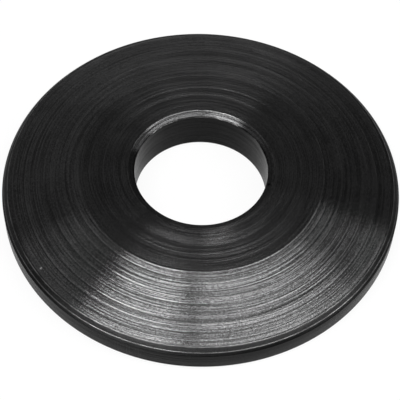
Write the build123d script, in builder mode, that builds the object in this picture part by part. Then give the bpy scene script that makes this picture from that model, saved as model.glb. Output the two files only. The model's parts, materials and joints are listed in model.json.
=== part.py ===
from build123d import *
from math import radians, tan
import os

os.makedirs("parts", exist_ok=True)

# A turned propeller washer: a flat base, a short rim wall, a shallow cone and a
# raised flat land around a plain bore. One solid of revolution about the Z axis,
# with its origin at the centre of the base. Millimetres and degrees.

# Body
outer_diameter = 24.0
bore_diameter = 8.0
thickness = 2.8

# Top: the land that bears on the propeller hub, and the cone outside it
land_diameter = 14.7
cone_slope = 14.0
cone_foot_inset = 0.35

# Rim: the wall, then a bevel in two facets that meet at a fine arris
wall_height = 1.3
arris_inset = 0.15
arris_rise = 0.18

# Edge breaks: the bevel at the bore's mouth and the small ones at the base
mouth_bevel_width = 0.4
mouth_bevel_depth = 0.2
base_break = 0.15
bore_base_break = 0.1

# Rounding left on the upper arrises
arris_rounding = 0.05

outer_radius = outer_diameter / 2
bore_radius = bore_diameter / 2
land_radius = land_diameter / 2
mouth_radius = bore_radius + mouth_bevel_width
cone_foot_radius = outer_radius - cone_foot_inset
cone_foot_height = thickness - (cone_foot_radius - land_radius) * tan(radians(cone_slope))

with BuildPart() as washer:
    # Half of the section, with the radius along X and the height along Z
    with BuildSketch(Plane.XZ):
        with BuildLine():
            Polyline(
                (bore_radius + bore_base_break, 0),
                (outer_radius - base_break, 0),
                (outer_radius, base_break),
                (outer_radius, wall_height),
                (outer_radius - arris_inset, wall_height + arris_rise),
                (cone_foot_radius, cone_foot_height),
                (land_radius, thickness),
                (mouth_radius, thickness),
                (bore_radius, thickness - mouth_bevel_depth),
                (bore_radius, bore_base_break),
                close=True,
            )
        make_face()
    revolve(axis=Axis.Z)

    # The rim's arris, the cone's foot and the land's edge are slightly rounded
    upper_circles = washer.edges().filter_by(GeomType.CIRCLE).filter_by_position(
        Axis.Z, wall_height, thickness, inclusive=(False, True)
    )
    arrises = upper_circles.filter_by(lambda edge: edge.radius > mouth_radius + arris_rounding)
    fillet(arrises, radius=arris_rounding)

washer.part.label = "washer"
export_step(washer.part, "parts/washer.step")
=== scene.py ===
import json
import math

import bpy
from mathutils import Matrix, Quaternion, Vector


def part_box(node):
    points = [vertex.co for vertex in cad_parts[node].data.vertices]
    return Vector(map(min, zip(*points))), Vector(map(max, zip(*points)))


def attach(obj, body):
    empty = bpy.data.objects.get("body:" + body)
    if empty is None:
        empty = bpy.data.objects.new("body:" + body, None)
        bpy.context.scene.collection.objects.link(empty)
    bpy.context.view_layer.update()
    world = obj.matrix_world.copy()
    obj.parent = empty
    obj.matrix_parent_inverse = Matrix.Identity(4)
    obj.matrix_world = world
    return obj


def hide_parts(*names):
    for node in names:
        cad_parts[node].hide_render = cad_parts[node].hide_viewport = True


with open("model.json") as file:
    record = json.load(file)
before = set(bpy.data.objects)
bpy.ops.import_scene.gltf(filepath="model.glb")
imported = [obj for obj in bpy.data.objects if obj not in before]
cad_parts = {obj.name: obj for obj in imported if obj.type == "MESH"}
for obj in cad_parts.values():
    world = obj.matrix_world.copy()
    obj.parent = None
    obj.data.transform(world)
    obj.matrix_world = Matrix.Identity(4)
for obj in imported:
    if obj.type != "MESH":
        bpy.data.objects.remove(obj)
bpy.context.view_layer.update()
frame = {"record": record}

# A turned propeller washer with a black oxide finish, on a plain pale floor.
# Everything is in metres; sizes of the section are written in millimetres.
MM = 0.001
PIECE = "washer_turned"

# Sizes that the frame gives, in millimetres
low_corner, high_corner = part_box("washer")
bore_mount = next(m for m in frame["record"]["mounts"] if m["name"] == "bore")
OUTER_RADIUS = high_corner.x / MM
THICKNESS = high_corner.z / MM
BORE_RADIUS = bore_mount["dims"]["r_mm"]

# The section's other sizes, as the solid has them
LAND_RADIUS = 7.35
CONE_SLOPE = math.radians(14.0)
CONE_FOOT_INSET = 0.35
WALL_HEIGHT = 1.3
ARRIS_INSET = 0.15
ARRIS_RISE = 0.18
MOUTH_BEVEL_WIDTH = 0.4
MOUTH_BEVEL_DEPTH = 0.2
BASE_BREAK = 0.15
BORE_BASE_BREAK = 0.1

CONE_FOOT_RADIUS = OUTER_RADIUS - CONE_FOOT_INSET
CONE_FOOT_HEIGHT = THICKNESS - (CONE_FOOT_RADIUS - LAND_RADIUS) * math.tan(CONE_SLOPE)
RIM_ARRIS = (OUTER_RADIUS - ARRIS_INSET, WALL_HEIGHT + ARRIS_RISE)
MOUTH_RADIUS = BORE_RADIUS + MOUTH_BEVEL_WIDTH
MOUTH_FOOT_HEIGHT = THICKNESS - MOUTH_BEVEL_DEPTH

# How the section is drawn
ARRIS_ROUNDING = 0.04
ARRIS_STEPS = 4
SPIN_STEPS = 288
SMOOTH_ANGLE = math.radians(40)
MERGE_DISTANCE = 0.0001 * MM


# The section
def rounded(before, corner, after, radius, steps=ARRIS_STEPS):
    """The points of a small arc that rounds a corner of the section."""
    here = Vector(corner)
    back = (Vector(before) - here).normalized()
    ahead = (Vector(after) - here).normalized()
    half = back.angle(ahead) / 2
    reach = radius / math.tan(half)
    middle = here + (back + ahead).normalized() * (radius / math.sin(half))
    start = here + back * reach - middle
    end = here + ahead * reach - middle
    turn = start.angle_signed(end)
    points = []
    for step in range(steps + 1):
        angle = -turn * step / steps
        cos, sin = math.cos(angle), math.sin(angle)
        points.append((
            middle.x + start.x * cos - start.y * sin,
            middle.y + start.x * sin + start.y * cos,
        ))
    return points


def tool_rings(start, end, places, depth, width):
    """A straight run of the section from start to end with shallow tool rings cut in it at these places (0 to 1)."""
    start, end = Vector(start), Vector(end)
    along = end - start
    length = along.length
    inwards = Vector((-along.y, along.x)).normalized()
    points = []
    for index, place in enumerate(places):
        cut = depth * (0.55 + 0.45 * math.sin(2.7 * index + 1.3))
        for offset, share in ((-1.0, 0.0), (-0.4, 0.8), (0.0, 1.0), (0.4, 0.8), (1.0, 0.0)):
            t = place + offset * width / 2 / length
            point = start + along * t + inwards * cut * share
            points.append((point.x, point.y))
    return points


BASE_INNER = (BORE_RADIUS + BORE_BASE_BREAK, 0.0)
BASE_OUTER = (OUTER_RADIUS - BASE_BREAK, 0.0)
WALL_FOOT = (OUTER_RADIUS, BASE_BREAK)
WALL_TOP = (OUTER_RADIUS, WALL_HEIGHT)
CONE_FOOT = (CONE_FOOT_RADIUS, CONE_FOOT_HEIGHT)
# The fine raised edge that the tool left where the rim's two facets meet
RAISED_EDGE_FOOT = (RIM_ARRIS[0] + 0.019, RIM_ARRIS[1] - 0.023)
RAISED_EDGE_CREST = (RIM_ARRIS[0] + 0.018, RIM_ARRIS[1] + 0.003)
RAISED_EDGE_BACK = (RIM_ARRIS[0] - 0.013, RIM_ARRIS[1] + 0.014)
RAISED_EDGE_ROUNDING = 0.008
LAND_EDGE = (LAND_RADIUS, THICKNESS)
MOUTH_EDGE = (MOUTH_RADIUS, THICKNESS)
MOUTH_FOOT = (BORE_RADIUS, MOUTH_FOOT_HEIGHT)
BORE_FOOT = (BORE_RADIUS, BORE_BASE_BREAK)



def uneven(count, sway=0.32):
    """Places for this many tool rings along a run, as shares of it, at slightly uneven steps."""
    return [(i + 0.5 + sway * math.sin(7.3 * i + 0.4)) / count for i in range(count)]


# How many rings the tool left deep enough to see on each run, and their size
CONE_RINGS = uneven(22)
LAND_RINGS = [0.6 * place for place in uneven(8)]
BASE_RINGS = uneven(16)
BORE_RINGS = uneven(5)
MOUTH_RINGS = (0.32, 0.66)
RING_DEPTH = 0.008
RING_WIDTH = 0.12
MOUTH_RING_DEPTH = 0.012
MOUTH_RING_WIDTH = 0.10


def section_points():
    """The closed half section, from the base's inner edge outwards and back down the bore."""
    points = rounded(BORE_FOOT, BASE_INNER, BASE_OUTER, 0.02)
    points += tool_rings(BASE_INNER, BASE_OUTER, BASE_RINGS, RING_DEPTH, RING_WIDTH)
    points += rounded(BASE_INNER, BASE_OUTER, WALL_FOOT, ARRIS_ROUNDING)
    points += rounded(BASE_OUTER, WALL_FOOT, WALL_TOP, ARRIS_ROUNDING)
    points += rounded(WALL_FOOT, WALL_TOP, RIM_ARRIS, ARRIS_ROUNDING)
    points.append(RAISED_EDGE_FOOT)
    points += rounded(RAISED_EDGE_FOOT, RAISED_EDGE_CREST, RAISED_EDGE_BACK, RAISED_EDGE_ROUNDING)
    points.append(RAISED_EDGE_BACK)
    points += rounded(RIM_ARRIS, CONE_FOOT, LAND_EDGE, ARRIS_ROUNDING)
    points += tool_rings(CONE_FOOT, LAND_EDGE, CONE_RINGS, RING_DEPTH, RING_WIDTH)
    points += rounded(CONE_FOOT, LAND_EDGE, MOUTH_EDGE, ARRIS_ROUNDING)
    points += tool_rings(LAND_EDGE, MOUTH_EDGE, LAND_RINGS, RING_DEPTH, RING_WIDTH)
    points += rounded(LAND_EDGE, MOUTH_EDGE, MOUTH_FOOT, ARRIS_ROUNDING)
    points += tool_rings(MOUTH_EDGE, MOUTH_FOOT, MOUTH_RINGS, MOUTH_RING_DEPTH, MOUTH_RING_WIDTH)
    points += rounded(MOUTH_EDGE, MOUTH_FOOT, BORE_FOOT, ARRIS_ROUNDING)
    points += tool_rings(MOUTH_FOOT, BORE_FOOT, BORE_RINGS, RING_DEPTH / 2, RING_WIDTH)
    points += rounded(MOUTH_FOOT, BORE_FOOT, BASE_INNER, 0.02)
    return points


def turned_washer():
    """The washer: its section is drawn by extruding a point along it, then spun about the axis."""
    points = [Vector((x * MM, 0.0, z * MM)) for x, z in section_points()]
    bpy.ops.object.select_all(action="DESELECT")
    bpy.ops.mesh.primitive_plane_add(size=MM, location=(0, 0, 0))
    piece = bpy.context.object
    piece.name = piece.data.name = PIECE
    bpy.ops.object.mode_set(mode="EDIT")
    bpy.ops.mesh.select_mode(type="VERT")
    bpy.ops.mesh.select_all(action="SELECT")
    bpy.ops.mesh.merge(type="CENTER")
    bpy.ops.transform.translate(value=points[0])
    for here, there in zip(points, points[1:] + points[:1]):
        bpy.ops.mesh.extrude_region_move(TRANSFORM_OT_translate={"value": there - here})
    bpy.ops.mesh.select_all(action="SELECT")
    bpy.ops.mesh.remove_doubles(threshold=MERGE_DISTANCE)
    bpy.ops.mesh.spin(steps=SPIN_STEPS, angle=math.tau, center=(0, 0, 0), axis=(0, 0, 1))
    bpy.ops.mesh.select_all(action="SELECT")
    bpy.ops.mesh.remove_doubles(threshold=MERGE_DISTANCE)
    bpy.ops.mesh.normals_make_consistent(inside=False)
    bpy.ops.object.mode_set(mode="OBJECT")
    bpy.ops.object.shade_smooth_by_angle(angle=SMOOTH_ANGLE)
    return piece


# Node helpers
def shader_group(name, inputs, outputs):
    """A new shader node group with these float or vector inputs and float outputs, and its two end nodes."""
    group = bpy.data.node_groups.new(name, "ShaderNodeTree")
    for label, kind, value in inputs:
        socket = group.interface.new_socket(label, in_out="INPUT", socket_type=kind)
        if value is not None:
            socket.default_value = value
    for label in outputs:
        group.interface.new_socket(label, in_out="OUTPUT", socket_type="NodeSocketFloat")
    return group, group.nodes.new("NodeGroupInput"), group.nodes.new("NodeGroupOutput")


def feed(tree, socket, value):
    """Sets a socket to a value, or links it to another node's output."""
    if isinstance(value, bpy.types.NodeSocket):
        tree.links.new(value, socket)
    elif value is not None:
        socket.default_value = value


def math_node(tree, operation, first, second=None, third=None, clamp=False):
    node = tree.nodes.new("ShaderNodeMath")
    node.operation = operation
    node.use_clamp = clamp
    for socket, value in zip(node.inputs, (first, second, third)):
        feed(tree, socket, value)
    return node.outputs[0]


def ramp_between(tree, value, low, high, to_low=0.0, to_high=1.0):
    """A smooth step of a value from one range to another."""
    node = tree.nodes.new("ShaderNodeMapRange")
    node.interpolation_type = "SMOOTHSTEP"
    for label, given in (
        ("Value", value), ("From Min", low), ("From Max", high), ("To Min", to_low), ("To Max", to_high)
    ):
        feed(tree, node.inputs[label], given)
    return node.outputs["Result"]


def noise_value(tree, vector, scale, detail=2.0, roughness=0.5):
    node = tree.nodes.new("ShaderNodeTexNoise")
    feed(tree, node.inputs["Vector"], vector)
    feed(tree, node.inputs["Scale"], scale)
    feed(tree, node.inputs["Detail"], detail)
    feed(tree, node.inputs["Roughness"], roughness)
    return node.outputs["Fac"]


def radius_and_height(tree, vector):
    """A point's distance from the axis and its height over the base, both in millimetres."""
    split = tree.nodes.new("ShaderNodeSeparateXYZ")
    feed(tree, split.inputs[0], vector)
    x, y, z = split.outputs
    square = math_node(tree, "ADD", math_node(tree, "MULTIPLY", x, x), math_node(tree, "MULTIPLY", y, y))
    radius = math_node(tree, "DIVIDE", math_node(tree, "SQRT", square), MM)
    return x, y, radius, math_node(tree, "DIVIDE", z, MM)


def distance_from(tree, vector, place):
    """A point's distance from a place given in millimetres, also in millimetres."""
    node = tree.nodes.new("ShaderNodeVectorMath")
    node.operation = "DISTANCE"
    feed(tree, node.inputs[0], vector)
    node.inputs[1].default_value = Vector(place) * MM
    return math_node(tree, "DIVIDE", node.outputs["Value"], MM)


def fill_ramp(ramp, stops):
    """Gives a colour ramp these stops, each a place from 0 to 1 and a grey."""
    for index, (place, grey) in enumerate(stops):
        stop = ramp.elements[index] if index < 2 else ramp.elements.new(place)
        stop.position = place
        stop.color = (grey, grey, grey, 1)


def mixed(tree, factor, first, second):
    """A colour between two colours."""
    node = tree.nodes.new("ShaderNodeMix")
    node.data_type = "RGBA"
    feed(tree, node.inputs[0], factor)
    feed(tree, node.inputs[6], first)
    feed(tree, node.inputs[7], second)
    return node.outputs[2]


# Effects on the steel
def turned_rings_group():
    """Concentric marks of the lathe tool: rings of uneven height that change a little on their way round."""
    group, given, made = shader_group(
        "Turned rings",
        (("Vector", "NodeSocketVector", None), ("Pitch", "NodeSocketFloat", 0.1),
         ("Wander", "NodeSocketFloat", 0.15)),
        ("Height",),
    )
    x, y, radius, height = radius_and_height(group, given.outputs["Vector"])
    travel = math_node(group, "ADD", radius, height)
    combine = group.nodes.new("ShaderNodeCombineXYZ")
    feed(group, combine.inputs[0], math_node(group, "DIVIDE", travel, given.outputs["Pitch"]))
    turn = math_node(group, "ARCTAN2", y, x)
    wander = math_node(group, "MULTIPLY", given.outputs["Wander"], 4.0)
    feed(group, combine.inputs[1], math_node(group, "MULTIPLY", math_node(group, "SINE", turn), wander))
    feed(group, combine.inputs[2], math_node(group, "MULTIPLY", math_node(group, "COSINE", turn), wander))
    rings = noise_value(group, combine.outputs[0], 1.0, 1.0, 0.6)
    feed(group, made.inputs["Height"], rings)
    return group


def oxide_mottle_group():
    """The uneven patches and fine specks of a black oxide bath."""
    group, given, made = shader_group(
        "Oxide mottle",
        (("Vector", "NodeSocketVector", None), ("Patch", "NodeSocketFloat", 1.0),
         ("Speck", "NodeSocketFloat", 0.1)),
        ("Patches", "Specks"),
    )
    size = math_node(group, "DIVIDE", 1.0 / MM, given.outputs["Patch"])
    fine = math_node(group, "DIVIDE", 1.0 / MM, given.outputs["Speck"])
    feed(group, made.inputs["Patches"], noise_value(group, given.outputs["Vector"], size, 3.0, 0.6))
    feed(group, made.inputs["Specks"], noise_value(group, given.outputs["Vector"], fine, 2.0, 0.5))
    return group


def worn_arris_group():
    """Bright steel where handling has rubbed the oxide off an edge, thinner in some places than in others."""
    group, given, made = shader_group(
        "Worn arris",
        (("Vector", "NodeSocketVector", None), ("Radius", "NodeSocketFloat", 1.0),
         ("Height", "NodeSocketFloat", 1.0), ("Width", "NodeSocketFloat", 0.05),
         ("Gaps", "NodeSocketFloat", 0.5)),
        ("Wear",),
    )
    x, y, radius, height = radius_and_height(group, given.outputs["Vector"])
    across = math_node(group, "SUBTRACT", radius, given.outputs["Radius"])
    above = math_node(group, "SUBTRACT", height, given.outputs["Height"])
    square = math_node(group, "ADD", math_node(group, "MULTIPLY", across, across),
                       math_node(group, "MULTIPLY", above, above))
    distance = math_node(group, "SQRT", square)
    patches = noise_value(group, given.outputs["Vector"], 1.0 / (0.9 * MM), 4.0, 0.6)
    keep = ramp_between(group, patches, math_node(group, "MULTIPLY", given.outputs["Gaps"], 0.7),
                        math_node(group, "ADD", given.outputs["Gaps"], 0.2))
    reach = math_node(group, "MULTIPLY", given.outputs["Width"], math_node(group, "ADD", keep, 0.4))
    near = ramp_between(group, distance, reach, 0.0)
    feed(group, made.inputs["Wear"], math_node(group, "MULTIPLY", near, math_node(group, "ADD", keep, 0.15),
                                               clamp=True))
    return group


# Materials
def black_oxide_steel():
    """Turned steel, blackened: dark, a little mirror-like along the tool rings, bright on its worn edges, with painted
    shade on its walls, bevels and a pit, and painted highlights on the land and the rim's raised edge.
    """
    material = bpy.data.materials.new("black_oxide_steel")
    material.use_nodes = True
    tree = material.node_tree
    shader = tree.nodes["Principled BSDF"]
    where = tree.nodes.new("ShaderNodeTexCoord").outputs["Object"]

    def placed(group, **values):
        node = tree.nodes.new("ShaderNodeGroup")
        node.node_tree = group
        feed(tree, node.inputs["Vector"], where)
        for label, value in values.items():
            node.inputs[label].default_value = value
        return node.outputs

    fine = placed(RINGS, Pitch=0.05, Wander=0.35)["Height"]
    broad = placed(RINGS, Pitch=0.15, Wander=0.20)["Height"]
    mottle = placed(MOTTLE, Patch=1.6, Speck=0.09)

    wear = None
    for radius, height, width, gaps in WORN_ARRISES:
        one = placed(WEAR, Radius=radius, Height=height, Width=width, Gaps=gaps)["Wear"]
        wear = one if wear is None else math_node(tree, "MAXIMUM", wear, one)

    x, y, radius, above_base = radius_and_height(tree, where)
    tone = math_node(tree, "MULTIPLY", fine, 0.40)
    tone = math_node(tree, "MULTIPLY_ADD", mottle["Specks"], 0.45, tone)
    tone = math_node(tree, "MULTIPLY_ADD", mottle["Patches"], 0.15, tone)
    tone = ramp_between(tree, tone, 0.38, 0.62)
    oxide = mixed(tree, tone, OXIDE_DARK, OXIDE_PALE)

    # A paler patch painted on the front of the land, by the bore: a painted highlight where the tool rings' sheen
    # falls
    painted_sheen = ramp_between(tree, distance_from(tree, where, PAINTED_SHEEN_PLACE), 1.7, 0.0)
    painted_sheen = math_node(tree, "MULTIPLY", painted_sheen, ramp_between(tree, mottle["Patches"], 0.25, 0.75))
    oxide = mixed(tree, painted_sheen, oxide, OXIDE_PAINTED_SHEEN)

    # Colour by radius: partly the oxide's own tone, partly painted shade on the walls and bevels and a painted
    # highlight band on the raised edge
    shade = tree.nodes.new("ShaderNodeValToRGB")
    span = TONE_AND_PAINTED_LIGHT_BY_RADIUS[-1][0] - TONE_AND_PAINTED_LIGHT_BY_RADIUS[0][0]
    feed(tree, shade.inputs[0], math_node(tree, "DIVIDE", math_node(
        tree, "SUBTRACT", radius, TONE_AND_PAINTED_LIGHT_BY_RADIUS[0][0]), span))
    fill_ramp(shade.color_ramp, [((r - TONE_AND_PAINTED_LIGHT_BY_RADIUS[0][0]) / span, grey) for r, grey in TONE_AND_PAINTED_LIGHT_BY_RADIUS])
    oxide = mixed(tree, shade.outputs["Color"], BLACK, oxide)
    oxide = mixed(tree, wear, oxide, BRIGHT_STEEL)

    # A pit at the bore's edge, painted black as painted shade of its hollow, and a bright dent on the cone
    painted_pit_shade = ramp_between(tree, distance_from(tree, where, PAINTED_PIT_SHADE_PLACE), 0.18, 0.08)
    dent = ramp_between(tree, distance_from(tree, where, DENT_PLACE), 0.09, 0.04)
    oxide = mixed(tree, painted_pit_shade, oxide, BLACK)
    feed(tree, shader.inputs["Base Color"], mixed(tree, dent, oxide, DENT_STEEL))

    on_land = ramp_between(tree, radius, LAND_RADIUS + 0.03, LAND_RADIUS - 0.03)
    on_rim = ramp_between(tree, radius, OUTER_RADIUS - 0.04, OUTER_RADIUS - 0.01)
    on_bevel = ramp_between(tree, radius, CONE_FOOT_RADIUS - 0.02, CONE_FOOT_RADIUS + 0.04)
    on_bevel = math_node(tree, "SUBTRACT", on_bevel, on_rim)
    from_arris = math_node(tree, "ABSOLUTE", math_node(tree, "SUBTRACT", radius, RIM_ARRIS[0] + 0.003))
    on_bevel = math_node(tree, "MULTIPLY", on_bevel, ramp_between(tree, from_arris, 0.012, 0.024))
    rough = ramp_between(tree, broad, 0.3, 0.7, 0.19, 0.27)
    rough = math_node(tree, "MULTIPLY", rough, math_node(tree, "MULTIPLY_ADD", on_land, -0.14, 1.0))
    rough = math_node(tree, "MULTIPLY", rough, math_node(tree, "MULTIPLY_ADD", on_bevel, 0.9, 1.0))
    rough = math_node(tree, "MULTIPLY_ADD", painted_sheen, 0.05, rough)
    feed(tree, shader.inputs["Roughness"], rough)

    # Chatter: a few upright marks on the rim, all in one place
    turn = math_node(tree, "ARCTAN2", x, math_node(tree, "MULTIPLY", y, -1.0))
    off = math_node(tree, "ABSOLUTE", math_node(tree, "SUBTRACT", turn, CHATTER_TURN))
    near = math_node(tree, "MULTIPLY", ramp_between(tree, off, CHATTER_REACH, 0.3 * CHATTER_REACH), on_rim)
    sway = math_node(tree, "MULTIPLY", math_node(tree, "SINE", math_node(tree, "MULTIPLY", turn, 97.0)), 5.0)
    wave = math_node(tree, "SINE", math_node(tree, "MULTIPLY_ADD", turn, 330.0, sway))
    chatter = math_node(tree, "MULTIPLY", wave, near)

    height = math_node(tree, "MULTIPLY_ADD", broad, 1.6, math_node(tree, "MULTIPLY", fine, 1.4))
    height = math_node(tree, "MULTIPLY", height, math_node(tree, "MULTIPLY_ADD", on_land, -0.35, 1.0))
    height = math_node(tree, "MULTIPLY_ADD", mottle["Specks"], 0.25, height)
    height = math_node(tree, "MULTIPLY_ADD", chatter, 1.0, height)
    bump = tree.nodes.new("ShaderNodeBump")
    bump.inputs["Strength"].default_value = 1.0
    bump.inputs["Distance"].default_value = 0.010 * MM
    feed(tree, bump.inputs["Height"], height)
    feed(tree, shader.inputs["Normal"], bump.outputs["Normal"])

    shader.inputs["Metallic"].default_value = 1.0
    shader.inputs["Specular Tint"].default_value = GRAZING_TINT
    shader.inputs["Anisotropic"].default_value = 1.0
    shader.inputs["Anisotropic Rotation"].default_value = 0.25
    tangent = tree.nodes.new("ShaderNodeTangent")
    tangent.direction_type = "RADIAL"
    tangent.axis = "Z"
    feed(tree, shader.inputs["Tangent"], tangent.outputs["Tangent"])
    return material


def pale_floor():
    """A plain pale floor. What the camera and mirrors see of it is lifted towards white, and it keeps its shadow."""
    material = bpy.data.materials.new("pale_floor")
    material.use_nodes = True
    tree = material.node_tree
    shader = tree.nodes["Principled BSDF"]
    shader.inputs["Base Color"].default_value = FLOOR_COLOUR
    shader.inputs["Roughness"].default_value = 0.9
    shader.inputs["Specular IOR Level"].default_value = 0.0
    white = tree.nodes.new("ShaderNodeEmission")
    white.inputs["Strength"].default_value = 1.0
    path = tree.nodes.new("ShaderNodeLightPath").outputs
    seen = math_node(tree, "MAXIMUM", path["Is Camera Ray"],
                     math_node(tree, "MAXIMUM", path["Is Glossy Ray"], path["Is Transmission Ray"]))
    mix = tree.nodes.new("ShaderNodeMixShader")
    feed(tree, mix.inputs[0], math_node(tree, "MULTIPLY", seen, FLOOR_LIFT))
    feed(tree, mix.inputs[1], shader.outputs[0])
    feed(tree, mix.inputs[2], white.outputs[0])
    feed(tree, tree.nodes["Material Output"].inputs["Surface"], mix.outputs[0])
    return material


def studio_world():
    """A dim surround that is pale at the horizon and dark overhead."""
    world = bpy.data.worlds.new("studio")
    bpy.context.scene.world = world
    world.use_nodes = True
    tree = world.node_tree
    split = tree.nodes.new("ShaderNodeSeparateXYZ")
    feed(tree, split.inputs[0], tree.nodes.new("ShaderNodeTexCoord").outputs["Generated"])
    ramp = tree.nodes.new("ShaderNodeValToRGB")
    feed(tree, ramp.inputs[0], split.outputs[2])
    ramp.color_ramp.interpolation = "EASE"
    fill_ramp(ramp.color_ramp, SURROUND)
    feed(tree, tree.nodes["Background"].inputs["Color"], ramp.outputs["Color"])
    lean = math_node(tree, "MULTIPLY_ADD", split.outputs[0], SURROUND_LEAN, 1.0)
    feed(tree, tree.nodes["Background"].inputs["Strength"], lean)


def softbox(name, middle, size, radiance, shape="RECTANGLE"):
    """A flat lamp over the washer that faces straight down."""
    lamp = bpy.data.lights.new(name, "AREA")
    lamp.shape = shape
    lamp.size, lamp.size_y = size
    area = size[0] * size[1] * (math.pi / 4 if shape == "ELLIPSE" else 1.0)
    lamp.energy = math.pi * area * radiance
    lamp_object = bpy.data.objects.new(name, lamp)
    lamp_object.location = middle
    bpy.context.scene.collection.objects.link(lamp_object)


def camera():
    """The photograph's camera."""
    lens = bpy.data.cameras.new("camera")
    lens.sensor_width = SENSOR_WIDTH
    lens.lens = LENS
    lens.clip_start = 0.001
    eye = bpy.data.objects.new("camera", lens)
    bpy.context.scene.collection.objects.link(eye)
    elevation = math.radians(CAMERA_ELEVATION)
    back = Vector((0.0, -math.cos(elevation), math.sin(elevation)))
    aim = Vector(CAMERA_AIM) * MM
    eye.location = aim + back * CAMERA_DISTANCE * MM
    eye.rotation_mode = "QUATERNION"
    look = (-back).to_track_quat("-Z", "Y")
    roll = Quaternion((0, 0, 1), math.radians(CAMERA_ROLL))
    eye.rotation_quaternion = look @ roll
    bpy.context.scene.camera = eye


# Colours, as linear values
BLACK = (0.0, 0.0, 0.0, 1)
OXIDE_DARK = (0.058, 0.058, 0.0585, 1)
OXIDE_PALE = (0.145, 0.145, 0.146, 1)
# The oxide of the paler patch on the land, a painted highlight
OXIDE_PAINTED_SHEEN = (0.170, 0.170, 0.171, 1)
GRAZING_TINT = (0.77, 0.77, 0.77, 1)
BRIGHT_STEEL = (0.20, 0.20, 0.20, 1)
DENT_STEEL = (0.50, 0.50, 0.50, 1)
FLOOR_COLOUR = (0.90, 0.90, 0.90, 1)
FLOOR_LIFT = 0.90
FLOOR_DROP = 0.02 * MM

# How much of the oxide's colour shows at each radius: least on the bore's wall, the bevel and the rim's wall, which is
# painted shade; a narrow full band on the raised edge is a painted highlight, and the land a little paler than the
# cone is the oxide's own tone
TONE_AND_PAINTED_LIGHT_BY_RADIUS = (
    (BORE_RADIUS, 0.10), (BORE_RADIUS + 0.05, 0.12), (BORE_RADIUS + 0.09, 0.65), (MOUTH_RADIUS, 0.65),
    (MOUTH_RADIUS + 0.05, 1.0), (LAND_RADIUS - 0.04, 1.0), (LAND_RADIUS + 0.04, 0.95), (CONE_FOOT_RADIUS - 0.03, 0.95),
    (CONE_FOOT_RADIUS + 0.03, 0.42), (RIM_ARRIS[0] - 0.020, 0.42), (RIM_ARRIS[0] - 0.010, 1.0),
    (RIM_ARRIS[0] + 0.016, 1.0), (RIM_ARRIS[0] + 0.025, 0.26), (OUTER_RADIUS - 0.04, 0.24),
    (OUTER_RADIUS - 0.01, 0.11),
)

# Small marks, in millimetres (the paler patch is a painted highlight, the black pit painted shade), and the chatter's
# place on the rim, as turns from the front
PAINTED_SHEEN_PLACE = (1.5, -4.9, THICKNESS)
PAINTED_PIT_SHADE_PLACE = (4.07, -1.02, MOUTH_FOOT_HEIGHT)
DENT_PLACE = (-9.05, -6.80, CONE_FOOT_HEIGHT + 0.08)
CHATTER_TURN = math.radians(-18.5)
CHATTER_REACH = math.radians(6.0)

# Edges that are worn bright: radius, height, width, and how broken up the line is
WORN_ARRISES = (
    (RIM_ARRIS[0], RIM_ARRIS[1], 0.03, 0.45),
    (CONE_FOOT_RADIUS, CONE_FOOT_HEIGHT, 0.05, 0.45),
    (LAND_RADIUS, THICKNESS, 0.04, 0.55),
    (MOUTH_RADIUS, THICKNESS, 0.04, 0.50),
    (BORE_RADIUS, MOUTH_FOOT_HEIGHT, 0.04, 0.50),
)

# The surround: height (0 the horizon, 1 overhead) and grey
SURROUND = ((0.0, 0.6), (0.04, 0.4), (0.10, 0.18), (0.5, 0.15), (1.0, 0.11))
SURROUND_LEAN = -0.45

# The camera, fitted to the photograph's outline and edges
SENSOR_WIDTH = 36.0
LENS = 124.5
CAMERA_ELEVATION = 54.80
CAMERA_DISTANCE = 84.735
CAMERA_AIM = (-0.02, -0.396, 0.0)
CAMERA_ROLL = 1.687

RINGS = turned_rings_group()
MOTTLE = oxide_mottle_group()
WEAR = worn_arris_group()

washer = turned_washer()
washer.data.materials.clear()
washer.data.materials.append(black_oxide_steel())
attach(washer, "root")
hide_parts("washer")

bpy.ops.object.select_all(action="DESELECT")
bpy.ops.mesh.primitive_plane_add(size=4.0, location=(0, 0, -FLOOR_DROP))
floor = bpy.context.object
floor.name = "floor"
floor.data.materials.append(pale_floor())

studio_world()
softbox("softbox_left", (-0.139, -0.10, 0.4), (0.2216, 0.11), 15.0)
softbox("softbox_right", (0.251, -0.045, 0.4), (0.5085, 0.11), 8.2)
softbox("wing_left", (-0.30, -0.02, 0.4), (0.20, 0.40), 0.60, "ELLIPSE")
softbox("wing_right", (0.37, 0.07, 0.4), (0.20, 0.34), 1.9, "ELLIPSE")
camera()
bpy.context.scene.view_settings.view_transform = "Standard"
